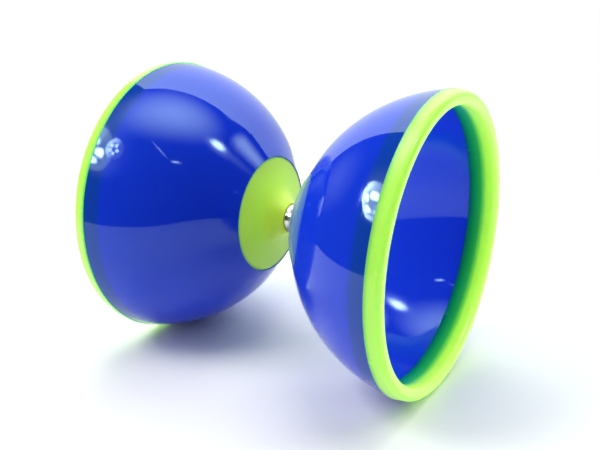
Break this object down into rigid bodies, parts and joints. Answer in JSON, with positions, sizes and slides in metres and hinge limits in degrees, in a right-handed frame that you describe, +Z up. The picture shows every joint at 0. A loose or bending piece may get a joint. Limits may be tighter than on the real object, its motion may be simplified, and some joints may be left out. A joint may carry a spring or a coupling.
{
  "type": "diabolo",
  "caption": "Diabolo spinning toy: deep bowl cups with rim rings, bolted back to back through flared hubs, with a string roller on ball bearings.",
  "frame": {"origin": "middle of the axle, which is the centre of the whole diabolo", "axes": "+Y along the axle into the right cup, the one with the bolt's nut; +Z up as it lies on both rims"},
  "size_m": [0.127, 0.1446, 0.127],
  "materials": {
    "blue_shell": "glossy, slightly see-through royal blue moulding",
    "green_rim": "satin-gloss fluorescent yellow-green moulding",
    "green_hub": "satin fluorescent yellow-green moulding",
    "roller_steel": "polished, fine marks from turning and string",
    "bearing_steel": "ground and polished bearing steel",
    "cage_steel": "pressed steel",
    "shield_steel": "pressed steel, satin",
    "bush_metal": "turned aluminium",
    "plated_steel": "bright zinc plate",
    "spring_steel": "dark spring steel",
    "bolt_steel": "zinc-plated steel",
    "nylon": "tinted nylon"
  },
  "bodies": {
    "cups": {"cup_shell_right": "blue_shell", "cup_shell_left": "blue_shell", "rim_ring_right": "green_rim", "rim_ring_left": "green_rim", "hub_flare_right": "green_hub", "hub_flare_left": "green_hub", "axle_bolt": "bolt_steel", "bearing_left_inner_ring": "bearing_steel", "bearing_middle_inner_ring": "bearing_steel", "bearing_right_inner_ring": "bearing_steel", "clamp_washer_left": "plated_steel", "clamp_washer_right": "plated_steel", "hub_bush_left": "bush_metal", "hub_bush_right": "bush_metal", "lock_nut": "plated_steel", "nut_insert": "nylon", "plain_washer": "plated_steel", "spring_washer": "spring_steel"},
    "roller": {"string_roller": "roller_steel", "snap_ring_right": "spring_steel", "snap_ring_left": "spring_steel", "bearing_left_outer_ring": "bearing_steel", "bearing_left_left_shield": "shield_steel", "bearing_left_right_shield": "shield_steel", "bearing_middle_outer_ring": "bearing_steel", "bearing_middle_left_shield": "shield_steel", "bearing_middle_right_shield": "shield_steel", "bearing_right_outer_ring": "bearing_steel", "bearing_right_left_shield": "shield_steel", "bearing_right_right_shield": "shield_steel"},
    "left_cage": {"bearing_left_cage": "cage_steel", "bearing_left_balls": "bearing_steel"},
    "middle_cage": {"bearing_middle_cage": "cage_steel", "bearing_middle_balls": "bearing_steel"},
    "right_cage": {"bearing_right_cage": "cage_steel", "bearing_right_balls": "bearing_steel"}
  },
  "joints": [
    {"name": "roller_spin", "type": "hinge", "parent": "cups", "child": "roller", "pos_m": [0, 0, 0], "axis": [0, 1, 0], "continuous": true},
    {"name": "left_cage_spin", "type": "hinge", "parent": "cups", "child": "left_cage", "pos_m": [0, -0.004, 0], "axis": [0, 1, 0], "continuous": true},
    {"name": "middle_cage_spin", "type": "hinge", "parent": "cups", "child": "middle_cage", "pos_m": [0, 0, 0], "axis": [0, 1, 0], "continuous": true},
    {"name": "right_cage_spin", "type": "hinge", "parent": "cups", "child": "right_cage", "pos_m": [0, 0.004, 0], "axis": [0, 1, 0], "continuous": true}
  ],
  "couplings": [
    {"joint": "left_cage_spin", "follows": "roller_spin", "ratio": 0.58667},
    {"joint": "middle_cage_spin", "follows": "roller_spin", "ratio": 0.58667},
    {"joint": "right_cage_spin", "follows": "roller_spin", "ratio": 0.58667}
  ]
}
